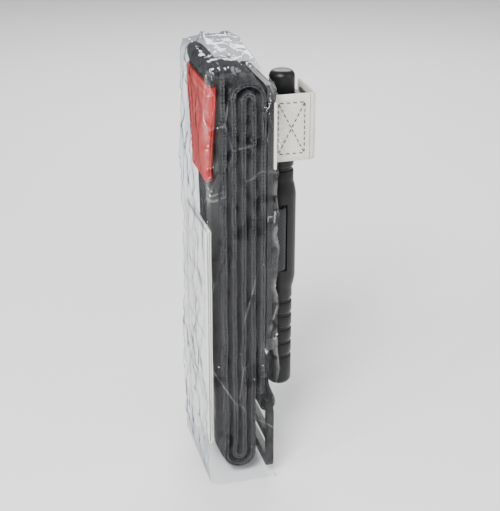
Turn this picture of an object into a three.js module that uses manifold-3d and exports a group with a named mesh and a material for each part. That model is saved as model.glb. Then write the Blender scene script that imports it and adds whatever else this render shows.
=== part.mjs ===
// A windlass tourniquet, folded into a compact standing pack in a clear film wrapper, open down its front.
// Units are millimetres. +Z is up along the folded length, +X is the windlass side, -X is the back with
// the red tip, and Y is the band's width. The origin is on the floor, in the middle of the wrapper's base.
import * as THREE from "three";
import { mergeVertices } from "three/addons/utils/BufferGeometryUtils.js";
import Module from "manifold-3d";

// Gap between pieces that touch or are sewn together.
const GAP = 0.3;

// Hook-and-loop band: a sleeve of two plies round a narrower tension strap, folded into columns.
const BAND_WIDTH = 38;
const STRAP_WIDTH = 25;
const LAYER_PITCH = 3.6;
const FRONT_COLUMN_X = 7.2;
const FOLD_STEPS = 12;
const OUTER_PLY = [0.6, 1.4];
const STRAP_PLY = [-0.4, 0.3];
const INNER_PLY = [-1.4, -0.7];
const HALF_BAND = 1.4;
const BAND_START_Z = 35;
const TAIL_HINGE_Z = 159.4;
const LARGE_TOP_Z = 152.2;
const LARGE_BOTTOM_Z = 7.8;
const SMALL_TOP_Z = 161.8;

// Each fold turns the band from one column to another. Column 0 is the front, column 5 the back.
const FOLDS = [
  { from: 0, to: 3, centreZ: LARGE_TOP_Z },
  { from: 3, to: 2, centreZ: LARGE_BOTTOM_Z },
  { from: 2, to: 1, centreZ: LARGE_TOP_Z },
  { from: 1, to: 4, centreZ: LARGE_BOTTOM_Z },
  { from: 4, to: 5, centreZ: SMALL_TOP_Z },
];
const STRAP_END_Z = 120;
const TAIL_COLUMN = 5;

// Red tip: a tapered sleeve folded under the end of the tail's stiff core.
const TIP_TOP_Z = 157.2;
const TIP_BEND_Z = 121.4;
const TIP_BEND_RADIUS = 1.05;
const TIP_THICK = 0.7;
const TIP_BOTTOM_HALF = 11.5;
const TIP_CORNER = 3;
const CORE_THICK = 0.8;
const CORE_BOTTOM_Z = 123;
const CORE_INSET = 1;

// Bar tacks: raised blocks of dense thread across the band.
const TACK_THICK = 0.4;
const TACK_HALF_LENGTH = 15;

// Stabiliser plate, lying on the front column.
const FRONT_FACE_X = FRONT_COLUMN_X + HALF_BAND;
const PLATE_BACK_X = FRONT_FACE_X + GAP;
const PLATE_FRONT_X = PLATE_BACK_X + 2;
const PLATE_WIDTH = 36;
const PLATE_BOTTOM_Z = 52;
const PLATE_TOP_Z = 156;
const PLATE_CORNER = 5;
const KEEPER_HEIGHT = 4.8;
const KEEPER_THICK = 0.6;
const KEEPER_LOWER_Z = PLATE_BOTTOM_Z + 1.5;
const KEEPER_UPPER_Z = PLATE_TOP_Z - 0.2 - KEEPER_HEIGHT;

// Strap that runs from the band over the plate and through the rod's slot.
const BRIDGE_THICK = 0.8;
const BRIDGE_BOTTOM_Z = 62;
const BRIDGE_TOP_Z = 124;
const SLOT_STRAP_THICK = 1.2;
const SLOT_STRAP_HALF = 7.5;
const SLOT_STRAP_CORNER = 0.8;

// Windlass rod, parallel to the band when it is stowed.
const ROD_X = 19.1;
const ROD_Z = 93;
const ROD_LENGTH = 128;
const ROD_RADIUS = 4.75;
const ROD_END_ROUND = 2.4;
const ROD_SLOT_LENGTH = 27;
const ROD_SLOT_WIDTH = 2.2;
const ROD_MIDDLE_RADIUS = 5.8;
const ROD_MIDDLE_HALF = 17;
const ROD_TAPER_LENGTH = 5;
const GRIP_RINGS = 5;
const GRIP_PITCH = 6;
const GRIP_START = 27;
const GRIP_DEPTH = 0.55;
const GRIP_HALF_MOUTH = 1.1;
const GRIP_HALF_FLOOR = 0.6;

// Hook-shaped clip that holds the rod's upper end, open towards +Y.
const CLIP_BOTTOM_Z = 128;
const CLIP_HEIGHT = 20;
const CLIP_WALL = 1.6;
const CLIP_BACK_Y = -9;
const CLIP_BASE_X = PLATE_FRONT_X + GAP;
const CLIP_LIP_X = 24.3;
const CLIP_TOP_X = CLIP_LIP_X + CLIP_WALL;
const CLIP_MOUTH_Y = 11;
const CLIP_LIP_END_Y = 4;
const CLIP_CORNER = 1.8;
const CLIP_RIDGE = 2.2;
const RIVET_Y = 5.2;
const RIVET_INSET = 4;
const RIVET_RADIUS = 1.2;
const RIVET_HEAD_RADIUS = 2.4;
const RIVET_HOLE_RADIUS = 1.5;
const RIVET_CENTRES = [
  ["clip_rivet_lower", CLIP_BOTTOM_Z + RIVET_INSET],
  ["clip_rivet_upper", CLIP_BOTTOM_Z + CLIP_HEIGHT - RIVET_INSET],
];

// Writing strap over the clip, with the hook and loop patches that hold its flap shut.
const WRITING_WIDTH = 25;
const WRITING_BOTTOM_Z = CLIP_BOTTOM_Z + (CLIP_HEIGHT - WRITING_WIDTH) / 2;
const WRITING_TOP_Z = WRITING_BOTTOM_Z + WRITING_WIDTH;
const WRITING_THICK = 1;
const WRITING_LEG_Y = CLIP_BACK_Y - 0.6;
const WRITING_LEG_TOP_X = 26.6;
const WRITING_FOOT_Y = -18;
const PATCH_LOW_Y = -6;
const HOOK_PATCH_THICK = 0.7;
const LOOP_PATCH_THICK = 0.6;
const LOOP_PATCH_X = CLIP_TOP_X + GAP + HOOK_PATCH_THICK + GAP;
const LOOP_PATCH_END_Y = 5;
const FLAP_X = LOOP_PATCH_X + LOOP_PATCH_THICK + GAP;
const FLAP_END_Y = 9.5;

// Buckle that hangs on its own bar at the band's lower front end.
const BUCKLE_BAR_X = 9.2;
const BUCKLE_BAR_Z = 30;
const BUCKLE_BAR = 3.2;
const BUCKLE_THICK = 2.4;
const BUCKLE_WIDTH = 47;
const BUCKLE_BOTTOM_Z = 3.6;
const BUCKLE_CORNER = 3.5;
const BUCKLE_SLOT_WIDTH = 38.8;
const BUCKLE_SLOT_CORNER = 0.8;
const BUCKLE_SLOTS_Z = [
  [8, 15.2],
  [18.6, BUCKLE_BAR_Z - BUCKLE_BAR / 2],
];
const LOOP_RADIUS = 2.8;
const LOOP_THICK = 0.8;
const LOOP_TOP_Z = 50;

// Clear film wrapper.
const FILM = 0.5;
const WRAP_BACK_X = -14.7;
const WRAP_FRONT_X = 13;
const WRAP_HALF_WIDTH = 25;
const WRAP_SHOULDER_Z = 158;
const WRAP_TOP_Z = 170;
const CROWN_BACK_RUN = 9;
const CROWN_FRONT_X = 3;
const CROWN_FRONT_DROP = 4;

// Leaflet, folded in three.
const LEAFLET_WIDTH = 36;
const LEAFLET_BOTTOM_Z = 16;
const LEAFLET_TOP_Z = 104;
const LEAFLET_THICK = 0.3;
const LEAFLET_PITCH = 0.75;
const LEAFLET_BACK_X = WRAP_BACK_X + FILM + GAP + 0.2;

const COLOURS = {
  webbing: "#2b2c2e",
  strap: "#35363a",
  plastic: "#1f2022",
  red: "#cd4038",
  white: "#e4dfd0",
  film: "#dfe6ea",
  paper: "#efece4",
  steel: "#8d8f92",
};

const wasm = await Module();
wasm.setup();

const tourniquet = new THREE.Group();

function addPiece(name, geometry, colour, roughness = 0.8, metalness = 0) {
  const material = new THREE.MeshStandardMaterial({ color: colour, roughness, metalness });
  const mesh = new THREE.Mesh(geometry, material);
  mesh.name = name;
  tourniquet.add(mesh);
  return mesh;
}

// Booleans between closed geometries.

function solidFrom(geometry) {
  const bare = geometry.clone();
  bare.deleteAttribute("normal");
  bare.deleteAttribute("uv");
  const merged = mergeVertices(bare, 1e-4);
  return new wasm.Manifold(
    new wasm.Mesh({
      numProp: 3,
      vertProperties: merged.attributes.position.array,
      triVerts: new Uint32Array(merged.index.array),
    }),
  );
}

function geometryFrom(solid) {
  const { vertProperties, triVerts } = solid.getMesh();
  const geometry = new THREE.BufferGeometry();
  geometry.setAttribute("position", new THREE.BufferAttribute(vertProperties, 3));
  geometry.setIndex(new THREE.BufferAttribute(triVerts, 1));
  geometry.computeVertexNormals();
  return geometry;
}

function cut(geometry, ...tools) {
  let solid = solidFrom(geometry);
  for (const tool of tools) solid = solid.subtract(solidFrom(tool));
  return geometryFrom(solid);
}

function common(geometry, tool) {
  return geometryFrom(solidFrom(geometry).intersect(solidFrom(tool)));
}

// Extrusions of a flat outline along each axis.

function extrude(shape, depth) {
  return new THREE.ExtrudeGeometry(shape, { depth, bevelEnabled: false, steps: 1, curveSegments: 6 });
}

// An outline in X and Z, extruded evenly to both sides of Y = 0.
function acrossBand(shape, width) {
  return extrude(shape, width).rotateX(Math.PI / 2).translate(0, width / 2, 0);
}

// An outline in X and Y, extruded upwards from bottomZ.
function alongHeight(shape, bottomZ, height) {
  return extrude(shape, height).translate(0, 0, bottomZ);
}

// An outline in Y and Z, extruded forwards from backX.
function throughDepth(shape, backX, thickness) {
  const axes = new THREE.Matrix4().makeBasis(
    new THREE.Vector3(0, 1, 0),
    new THREE.Vector3(0, 0, 1),
    new THREE.Vector3(1, 0, 0),
  );
  return extrude(shape, thickness).applyMatrix4(axes).translate(backX, 0, 0);
}

function block(lowX, highX, lowY, highY, lowZ, highZ) {
  const box = new THREE.BoxGeometry(highX - lowX, highY - lowY, highZ - lowZ);
  return box.translate((lowX + highX) / 2, (lowY + highY) / 2, (lowZ + highZ) / 2);
}

function polygon(points) {
  return new THREE.Shape(points.map(([u, v]) => new THREE.Vector2(u, v)));
}

function roundedRectangle(lowU, highU, lowV, highV, radius) {
  const shape = new THREE.Shape();
  shape.absarc(highU - radius, highV - radius, radius, 0, Math.PI / 2);
  shape.absarc(lowU + radius, highV - radius, radius, Math.PI / 2, Math.PI);
  shape.absarc(lowU + radius, lowV + radius, radius, Math.PI, Math.PI * 1.5);
  shape.absarc(highU - radius, lowV + radius, radius, Math.PI * 1.5, Math.PI * 2);
  shape.closePath();
  return shape;
}

// Ribbons: a centre line in X and Z whose stations carry the normal on the right of travel.

function columnX(column) {
  return FRONT_COLUMN_X - column * LAYER_PITCH;
}

function foldedPath(startZ, folds, endZ) {
  const stations = [{ x: columnX(folds[0].from), z: startZ, nx: 1, nz: 0 }];
  let heading = 1;
  for (const { from, to, centreZ } of folds) {
    const centreX = (columnX(from) + columnX(to)) / 2;
    const reach = (columnX(from) - columnX(to)) / 2;
    for (let i = 0; i <= FOLD_STEPS; i++) {
      const angle = (Math.PI * i) / FOLD_STEPS;
      stations.push({
        x: centreX + reach * Math.cos(angle),
        z: centreZ + heading * Math.abs(reach) * Math.sin(angle),
        nx: heading * Math.cos(angle),
        nz: Math.sign(reach) * Math.sin(angle),
      });
    }
    heading = -heading;
  }
  stations.push({ x: columnX(folds.at(-1).to), z: endZ, nx: heading, nz: 0 });
  return stations;
}

// The stations of a centre line given only by its points.
function stationsOf(points) {
  return points.map(([x, z], i) => {
    const [fromX, fromZ] = points[Math.max(i - 1, 0)];
    const [toX, toZ] = points[Math.min(i + 1, points.length - 1)];
    const length = Math.hypot(toX - fromX, toZ - fromZ);
    return { x, z, nx: (toZ - fromZ) / length, nz: -(toX - fromX) / length };
  });
}

function ribbon(stations, [near, far], width) {
  const edge = (offset) => stations.map(({ x, z, nx, nz }) => [x + nx * offset, z + nz * offset]);
  return acrossBand(polygon([...edge(near), ...edge(far).reverse()]), width);
}

function arcPoints(centreX, centreZ, radius, fromAngle, toAngle, steps) {
  return Array.from({ length: steps + 1 }, (_, i) => {
    const angle = fromAngle + ((toAngle - fromAngle) * i) / steps;
    return [centreX + radius * Math.cos(angle), centreZ + radius * Math.sin(angle)];
  });
}

// The folded band and the strap that runs inside it.
function addBand() {
  const sleevePath = foldedPath(BAND_START_Z, FOLDS, TAIL_HINGE_Z + 0.6);
  const strapPath = foldedPath(BAND_START_Z, FOLDS.slice(0, 4), STRAP_END_Z);
  addPiece("band_outer_ply", ribbon(sleevePath, OUTER_PLY, BAND_WIDTH), COLOURS.webbing, 0.95);
  addPiece("band_inner_ply", ribbon(sleevePath, INNER_PLY, BAND_WIDTH), COLOURS.webbing, 0.95);
  addPiece("tension_strap", ribbon(strapPath, STRAP_PLY, STRAP_WIDTH), COLOURS.strap, 0.85);
}

function tackBlock(backX, lowZ, highZ) {
  return block(backX, backX + TACK_THICK, -TACK_HALF_LENGTH, TACK_HALF_LENGTH, lowZ, highZ);
}

// The tip's outline in Y and Z, tapering downwards with its lower corners cut off.
function tipOutline(topHalf, bottomHalf, bottomZ, topZ) {
  return polygon([
    [-topHalf, topZ],
    [-bottomHalf, bottomZ + TIP_CORNER],
    [-bottomHalf + TIP_CORNER, bottomZ],
    [bottomHalf - TIP_CORNER, bottomZ],
    [bottomHalf, bottomZ + TIP_CORNER],
    [topHalf, topZ],
  ]);
}

// Red sleeve folded over a stiff core, hanging from the last fold on the back face.
function addTip() {
  const centreX = columnX(TAIL_COLUMN);
  const topHalf = BAND_WIDTH / 2;
  const coreOutline = tipOutline(
    topHalf - CORE_INSET,
    TIP_BOTTOM_HALF - CORE_INSET,
    CORE_BOTTOM_Z,
    TAIL_HINGE_Z - 0.2,
  );
  const core = throughDepth(coreOutline, centreX - CORE_THICK / 2, CORE_THICK);
  addPiece("tail_core", core, COLOURS.webbing, 0.95);

  const bend = arcPoints(centreX, TIP_BEND_Z, TIP_BEND_RADIUS, Math.PI, 2 * Math.PI, 6);
  const path = [[centreX - TIP_BEND_RADIUS, TIP_TOP_Z], ...bend, [centreX + TIP_BEND_RADIUS, TIP_TOP_Z]];
  const sleeve = ribbon(stationsOf(path), [-TIP_THICK / 2, TIP_THICK / 2], BAND_WIDTH);
  const trimOutline = tipOutline(topHalf, TIP_BOTTOM_HALF, TIP_BEND_Z - 3, TIP_TOP_Z + 1);
  const trim = throughDepth(trimOutline, centreX - 3, 6);
  addPiece("red_tip", common(sleeve, trim), COLOURS.red, 0.6);

  const tackX = centreX - TIP_BEND_RADIUS - TIP_THICK / 2 - GAP;
  const tack = tackBlock(tackX - TACK_THICK, TIP_TOP_Z - 4.7, TIP_TOP_Z - 2);
  addPiece("tip_bar_tack", tack, COLOURS.webbing, 0.9);
}

// Plate with the two fabric keepers that hold its ends to the band.
function addPlate(rivetHoles) {
  const half = PLATE_WIDTH / 2;
  const outline = roundedRectangle(-half, half, PLATE_BOTTOM_Z, PLATE_TOP_Z, PLATE_CORNER);
  const plate = throughDepth(outline, PLATE_BACK_X, PLATE_FRONT_X - PLATE_BACK_X);
  addPiece("stabiliser_plate", cut(plate, ...rivetHoles), COLOURS.plastic, 0.45);
  const keeperX = PLATE_FRONT_X + GAP;
  const reach = BAND_WIDTH / 2 - 0.5;
  for (const [name, lowZ] of [
    ["plate_keeper_lower", KEEPER_LOWER_Z],
    ["plate_keeper_upper", KEEPER_UPPER_Z],
  ]) {
    const strip = block(keeperX, keeperX + KEEPER_THICK, -reach, reach, lowZ, lowZ + KEEPER_HEIGHT);
    addPiece(name, strip, COLOURS.webbing, 0.95);
  }
}

// The stretch of tension strap that lies on the plate under the rod.
function addStrapBridge() {
  const half = STRAP_WIDTH / 2;
  const frontX = CLIP_BASE_X + BRIDGE_THICK;
  const bridge = block(CLIP_BASE_X, frontX, -half, half, BRIDGE_BOTTOM_Z, BRIDGE_TOP_Z);
  addPiece("strap_bridge", bridge, COLOURS.strap, 0.85);
}

// Half of the rod's profile, from its middle to the tip of one end, as radius and distance.
function rodHalfProfile() {
  const points = [
    [ROD_MIDDLE_RADIUS, ROD_MIDDLE_HALF],
    [ROD_RADIUS, ROD_MIDDLE_HALF + ROD_TAPER_LENGTH],
  ];
  for (let ring = 0; ring < GRIP_RINGS; ring++) {
    const at = GRIP_START + ring * GRIP_PITCH;
    points.push([ROD_RADIUS, at - GRIP_HALF_MOUTH]);
    points.push([ROD_RADIUS - GRIP_DEPTH, at - GRIP_HALF_FLOOR]);
    points.push([ROD_RADIUS - GRIP_DEPTH, at + GRIP_HALF_FLOOR]);
    points.push([ROD_RADIUS, at + GRIP_HALF_MOUTH]);
  }
  const endCentre = ROD_LENGTH / 2 - ROD_END_ROUND;
  points.push(...arcPoints(ROD_RADIUS - ROD_END_ROUND, endCentre, ROD_END_ROUND, 0, Math.PI / 2, 4));
  points.push([0, ROD_LENGTH / 2]);
  return points;
}

// Rod with grip rings, a thicker middle and a cross slot for the strap.
function addWindlass() {
  const upper = rodHalfProfile();
  const lower = upper.map(([radius, along]) => [radius, -along]).reverse();
  const points = [...lower, ...upper].map(([radius, along]) => new THREE.Vector2(radius, along));
  const body = new THREE.LatheGeometry(points, 24).rotateX(Math.PI / 2);
  const halfWidth = ROD_SLOT_WIDTH / 2;
  const halfLength = ROD_SLOT_LENGTH / 2;
  const past = ROD_MIDDLE_RADIUS + 3.2;
  const slot = block(-halfWidth, halfWidth, -past, past, -halfLength, halfLength);
  addPiece("windlass_rod", cut(body, slot).translate(ROD_X, 0, ROD_Z), COLOURS.plastic, 0.4);
  addPiece("strap_in_slot", strapInSlot(), COLOURS.strap, 0.85);
}

// The strap passes through the rod's slot and turns down on both sides towards the plate.
function strapInSlot() {
  const outerY = SLOT_STRAP_HALF;
  const innerY = SLOT_STRAP_HALF - SLOT_STRAP_THICK;
  const topX = ROD_X + SLOT_STRAP_THICK / 2;
  const innerX = topX - SLOT_STRAP_THICK;
  const footX = CLIP_BASE_X + BRIDGE_THICK + 0.4;
  const outline = polygon([
    [footX, -outerY],
    [topX - SLOT_STRAP_CORNER, -outerY],
    [topX, -outerY + SLOT_STRAP_CORNER],
    [topX, outerY - SLOT_STRAP_CORNER],
    [topX - SLOT_STRAP_CORNER, outerY],
    [footX, outerY],
    [footX, innerY],
    [innerX, innerY],
    [innerX, -innerY],
    [footX, -innerY],
  ]);
  return alongHeight(outline, ROD_Z - STRAP_WIDTH / 2, STRAP_WIDTH);
}

// Hook-shaped clip: base, closed back and an overhanging lip, with a low ridge at the mouth.
function addClip(rivetHoles) {
  const floorX = CLIP_BASE_X + CLIP_WALL;
  const wallY = CLIP_BACK_Y + CLIP_WALL;
  const outline = new THREE.Shape();
  outline.moveTo(CLIP_BASE_X, CLIP_BACK_Y);
  outline.lineTo(CLIP_BASE_X, CLIP_MOUTH_Y);
  outline.lineTo(CLIP_BASE_X + CLIP_RIDGE, CLIP_MOUTH_Y);
  outline.quadraticCurveTo(CLIP_BASE_X + CLIP_RIDGE + 0.4, CLIP_MOUTH_Y - 1, floorX, CLIP_MOUTH_Y - 3);
  outline.lineTo(floorX, wallY + CLIP_CORNER);
  outline.quadraticCurveTo(floorX, wallY, floorX + CLIP_CORNER, wallY);
  outline.lineTo(CLIP_LIP_X - CLIP_CORNER, wallY);
  outline.quadraticCurveTo(CLIP_LIP_X, wallY, CLIP_LIP_X, wallY + CLIP_CORNER);
  outline.lineTo(CLIP_LIP_X, CLIP_LIP_END_Y);
  outline.lineTo(CLIP_TOP_X - 0.5, CLIP_LIP_END_Y + 0.5);
  outline.lineTo(CLIP_TOP_X, CLIP_LIP_END_Y);
  outline.lineTo(CLIP_TOP_X, CLIP_BACK_Y + CLIP_CORNER);
  outline.quadraticCurveTo(CLIP_TOP_X, CLIP_BACK_Y, CLIP_TOP_X - CLIP_CORNER, CLIP_BACK_Y);
  const clip = alongHeight(outline, CLIP_BOTTOM_Z, CLIP_HEIGHT);
  addPiece("windlass_clip", cut(clip, ...rivetHoles), COLOURS.plastic, 0.4);

  const patchX = CLIP_TOP_X + GAP;
  const lowZ = CLIP_BOTTOM_Z + 1;
  const highZ = CLIP_BOTTOM_Z + CLIP_HEIGHT - 1;
  const patch = block(patchX, patchX + HOOK_PATCH_THICK, PATCH_LOW_Y, CLIP_LIP_END_Y - 0.5, lowZ, highZ);
  addPiece("clip_hook_patch", patch, COLOURS.webbing, 0.95);
}

// A profile of radius and X, turned round an axis along X.
function turnedForwards(profile, y, z) {
  const points = profile.map(([radius, x]) => new THREE.Vector2(radius, x));
  return new THREE.LatheGeometry(points, 16).rotateZ(-Math.PI / 2).translate(0, y, z);
}

function rivetHole(z) {
  const behindX = PLATE_BACK_X - 4;
  const beyondX = CLIP_BASE_X + 9;
  const profile = [
    [0, behindX],
    [RIVET_HOLE_RADIUS, behindX],
    [RIVET_HOLE_RADIUS, beyondX],
    [0, beyondX],
  ];
  return turnedForwards(profile, RIVET_Y, z);
}

// Rivets that join the clip to the plate, with domed heads under the rod.
function addRivets() {
  const footX = PLATE_BACK_X + 0.1;
  const headX = CLIP_BASE_X + CLIP_WALL + 0.1;
  const profile = [
    [0, footX],
    [RIVET_RADIUS, footX],
    [RIVET_RADIUS, headX],
    [RIVET_HEAD_RADIUS, headX],
    [RIVET_HEAD_RADIUS - 0.2, headX + 0.5],
    [RIVET_HEAD_RADIUS - 1, headX + 0.8],
    [0, headX + 0.9],
  ];
  for (const [name, z] of RIVET_CENTRES) {
    addPiece(name, turnedForwards(profile, RIVET_Y, z), COLOURS.steel, 0.35, 1);
  }
}

// White strap: a fixed leg beside the clip and a flap that closes over the clip's lip.
function addWritingStrap() {
  const footX = CLIP_BASE_X + WRITING_THICK;
  const outerY = WRITING_LEG_Y - WRITING_THICK;
  const leg = polygon([
    [CLIP_BASE_X, WRITING_FOOT_Y],
    [footX, WRITING_FOOT_Y],
    [footX, outerY - 0.6],
    [footX + 0.6, outerY],
    [WRITING_LEG_TOP_X, outerY],
    [WRITING_LEG_TOP_X, WRITING_LEG_Y],
    [CLIP_BASE_X, WRITING_LEG_Y],
  ]);
  addPiece("strap_anchor", alongHeight(leg, WRITING_BOTTOM_Z, WRITING_WIDTH), COLOURS.white, 0.85);

  const flapFrontX = FLAP_X + WRITING_THICK;
  const flapStartY = WRITING_LEG_Y - 0.2;
  const flap = block(FLAP_X, flapFrontX, flapStartY, FLAP_END_Y, WRITING_BOTTOM_Z, WRITING_TOP_Z);
  addPiece("writing_strap", flap, COLOURS.white, 0.85);

  const patchFrontX = LOOP_PATCH_X + LOOP_PATCH_THICK;
  const lowZ = WRITING_BOTTOM_Z + 2;
  const highZ = WRITING_TOP_Z - 2;
  const patch = block(LOOP_PATCH_X, patchFrontX, PATCH_LOW_Y, LOOP_PATCH_END_Y, lowZ, highZ);
  addPiece("flap_loop_patch", patch, COLOURS.webbing, 0.95);
}

// Buckle frame with a bar for the sewn loop and two slots for the free end.
function addBuckle() {
  const half = BUCKLE_WIDTH / 2;
  const slotHalf = BUCKLE_SLOT_WIDTH / 2;
  const topZ = BUCKLE_BAR_Z + BUCKLE_BAR / 2;
  const shape = roundedRectangle(-half, half, BUCKLE_BOTTOM_Z, topZ, BUCKLE_CORNER);
  for (const [lowZ, highZ] of BUCKLE_SLOTS_Z) {
    shape.holes.push(roundedRectangle(-slotHalf, slotHalf, lowZ, highZ, BUCKLE_SLOT_CORNER));
  }
  const frame = throughDepth(shape, BUCKLE_BAR_X - BUCKLE_THICK / 2, BUCKLE_THICK);
  addPiece("buckle_frame", frame, COLOURS.plastic, 0.4);
}

// The band's end goes round the buckle's bar and is sewn down on the band's front.
function addBuckleLoop() {
  const bend = arcPoints(BUCKLE_BAR_X, BUCKLE_BAR_Z, LOOP_RADIUS, Math.PI, 2 * Math.PI, 12);
  const halfThick = LOOP_THICK / 2;
  const frontX = FRONT_FACE_X + GAP + halfThick;
  const path = [
    [BUCKLE_BAR_X - LOOP_RADIUS, BAND_START_Z - 0.5],
    ...bend,
    [BUCKLE_BAR_X + LOOP_RADIUS, BUCKLE_BAR_Z + 2],
    [frontX + 1.2, BUCKLE_BAR_Z + 5.5],
    [frontX, BUCKLE_BAR_Z + 9],
    [frontX, LOOP_TOP_Z],
  ];
  const loop = ribbon(stationsOf(path), [-halfThick, halfThick], BAND_WIDTH - 1);
  addPiece("buckle_loop", loop, COLOURS.webbing, 0.95);
  const tack = tackBlock(frontX + halfThick + GAP, LOOP_TOP_Z - 6, LOOP_TOP_Z - 3.5);
  addPiece("loop_bar_tack", tack, COLOURS.strap, 0.9);
}

// Film panels: a flat base and back, two sides and a domed top, open down the front.
function addWrapper() {
  const low = FILM + GAP;
  const half = WRAP_HALF_WIDTH;
  const front = WRAP_FRONT_X;
  const back = WRAP_BACK_X;
  const base = block(back, front, -half, half, 0, FILM);
  addPiece("wrapper_base_panel", base, COLOURS.film, 0.1);
  const backPanel = block(back, back + FILM, -half, half, low, WRAP_SHOULDER_Z);
  addPiece("wrapper_back_panel", backPanel, COLOURS.film, 0.1);

  const rightPanel = block(back + FILM + GAP, front, half - FILM, half, low, WRAP_SHOULDER_Z);
  addPiece("wrapper_right_panel", rightPanel, COLOURS.film, 0.1);
  addPiece("wrapper_left_panel", rightPanel.clone().translate(0, FILM - 2 * half, 0), COLOURS.film, 0.1);

  const shoulder = WRAP_SHOULDER_Z + GAP;
  const crown = (inset) => {
    const shape = new THREE.Shape();
    shape.moveTo(front + inset, shoulder - inset);
    shape.lineTo(back + inset, shoulder - inset);
    const topZ = WRAP_TOP_Z - inset;
    shape.quadraticCurveTo(back + inset, topZ - 1, back + CROWN_BACK_RUN, topZ);
    shape.lineTo(CROWN_FRONT_X, topZ);
    shape.quadraticCurveTo(front - 2, topZ, front + inset, topZ - CROWN_FRONT_DROP);
    return shape;
  };
  const dome = cut(acrossBand(crown(0), 2 * half), acrossBand(crown(FILM), 2 * (half - FILM)));
  addPiece("wrapper_top_panel", dome, COLOURS.film, 0.1);
}

// Instruction leaflet, folded in three against the wrapper's back under the red tip.
function addLeaflet() {
  const radius = LEAFLET_PITCH / 2;
  const middleX = LEAFLET_BACK_X + LEAFLET_PITCH;
  const path = [
    [LEAFLET_BACK_X, LEAFLET_TOP_Z],
    ...arcPoints(LEAFLET_BACK_X + radius, LEAFLET_BOTTOM_Z, radius, Math.PI, 2 * Math.PI, 6),
    ...arcPoints(middleX + radius, LEAFLET_TOP_Z, radius, Math.PI, 0, 6),
    [middleX + LEAFLET_PITCH, LEAFLET_BOTTOM_Z],
  ];
  const leaflet = ribbon(stationsOf(path), [-LEAFLET_THICK / 2, LEAFLET_THICK / 2], LEAFLET_WIDTH);
  addPiece("leaflet", leaflet, COLOURS.paper, 0.9);
}

const rivetHoles = RIVET_CENTRES.map(([, z]) => rivetHole(z));
addBand();
addTip();
addPlate(rivetHoles);
addStrapBridge();
addWindlass();
addClip(rivetHoles);
addRivets();
addWritingStrap();
addBuckle();
addBuckleLoop();
addWrapper();
addLeaflet();

export default tourniquet;
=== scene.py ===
# Looks of the folded windlass tourniquet: cloth plies, tapes, moulded parts, leaflet and clear film.
# Lengths in this script are millimetres until finish_mesh turns them into metres.
import math

import bmesh
import bpy
from mathutils import Matrix, Vector, noise


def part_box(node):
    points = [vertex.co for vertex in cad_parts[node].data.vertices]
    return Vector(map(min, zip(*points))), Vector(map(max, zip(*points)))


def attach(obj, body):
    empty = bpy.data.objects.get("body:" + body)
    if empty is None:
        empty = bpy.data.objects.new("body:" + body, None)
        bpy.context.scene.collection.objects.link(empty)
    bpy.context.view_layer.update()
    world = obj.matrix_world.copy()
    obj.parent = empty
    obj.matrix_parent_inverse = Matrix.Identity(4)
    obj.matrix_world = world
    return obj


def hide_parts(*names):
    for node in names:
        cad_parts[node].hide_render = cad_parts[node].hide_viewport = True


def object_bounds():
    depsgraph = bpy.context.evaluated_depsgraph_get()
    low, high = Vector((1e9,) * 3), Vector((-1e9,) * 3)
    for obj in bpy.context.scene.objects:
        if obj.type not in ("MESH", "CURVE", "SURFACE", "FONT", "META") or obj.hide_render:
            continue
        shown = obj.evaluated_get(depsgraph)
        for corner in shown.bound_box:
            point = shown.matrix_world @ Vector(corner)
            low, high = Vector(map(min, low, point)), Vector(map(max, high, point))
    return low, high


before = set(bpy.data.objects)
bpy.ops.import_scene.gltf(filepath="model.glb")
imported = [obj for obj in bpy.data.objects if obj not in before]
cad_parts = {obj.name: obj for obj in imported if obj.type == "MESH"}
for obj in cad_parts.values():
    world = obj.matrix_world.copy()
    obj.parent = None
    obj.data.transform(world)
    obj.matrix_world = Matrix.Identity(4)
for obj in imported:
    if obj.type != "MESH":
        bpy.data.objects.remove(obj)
cad_low, cad_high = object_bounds()

MM = 0.001
# An edge counts as sharp above these angles: on CAD nodes, on swept meshes and for the rod's bevel.
SMOOTH_ANGLE = math.radians(38)
MESH_SHARP_ANGLE = math.radians(50)
ROD_BEVEL_ANGLE = math.radians(55)


# --- sizes read from the frame ------------------------------------------------------------------

def box_mm(node):
    low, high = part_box(node)
    return Vector(low) / MM, Vector(high) / MM


OUTER_LOW, OUTER_HIGH = box_mm("band_outer_ply")
STRAP_HIGH = box_mm("tension_strap")[1]
ROD_LOW, ROD_HIGH = box_mm("windlass_rod")
TIP_LOW, TIP_HIGH = box_mm("red_tip")
LOOP_LOW, LOOP_HIGH = box_mm("buckle_loop")
BUCKLE_LOW, BUCKLE_HIGH = box_mm("buckle_frame")
ANCHOR_LOW, ANCHOR_HIGH = box_mm("strap_anchor")
FLAP_LOW, FLAP_HIGH = box_mm("writing_strap")
LEAFLET_LOW, LEAFLET_HIGH = box_mm("leaflet")
WRAP_LOW = box_mm("wrapper_back_panel")[0]

# Near and far face of each layer of the band, measured from the middle of its thickness.
OUTER_PLY = (0.6, 1.4)
INNER_PLY = (-1.4, -0.7)
STRAP_PLY = (-0.4, 0.3)
HALF_BAND = OUTER_PLY[1]

# The band is folded into six columns. Column 0 is the front and column 5 is the back.
LAST_COLUMN = 5
BAND_HALF_WIDTH = OUTER_HIGH.y
FRONT_COLUMN_X = OUTER_HIGH.x - HALF_BAND
LAYER_PITCH = (OUTER_HIGH.x - OUTER_LOW.x - 2 * HALF_BAND) / LAST_COLUMN
SMALL_FOLD = LAYER_PITCH / 2
LARGE_FOLD = LAYER_PITCH * 1.5
SMALL_TOP_Z = OUTER_HIGH.z - SMALL_FOLD - HALF_BAND
LARGE_BOTTOM_Z = OUTER_LOW.z + LARGE_FOLD + HALF_BAND
LARGE_TOP_Z = STRAP_HIGH.z - LARGE_FOLD - STRAP_PLY[1]
BAND_START_Z = 35.0
TAIL_START_Z = 160.0
STRAP_END_Z = 120.0
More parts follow.
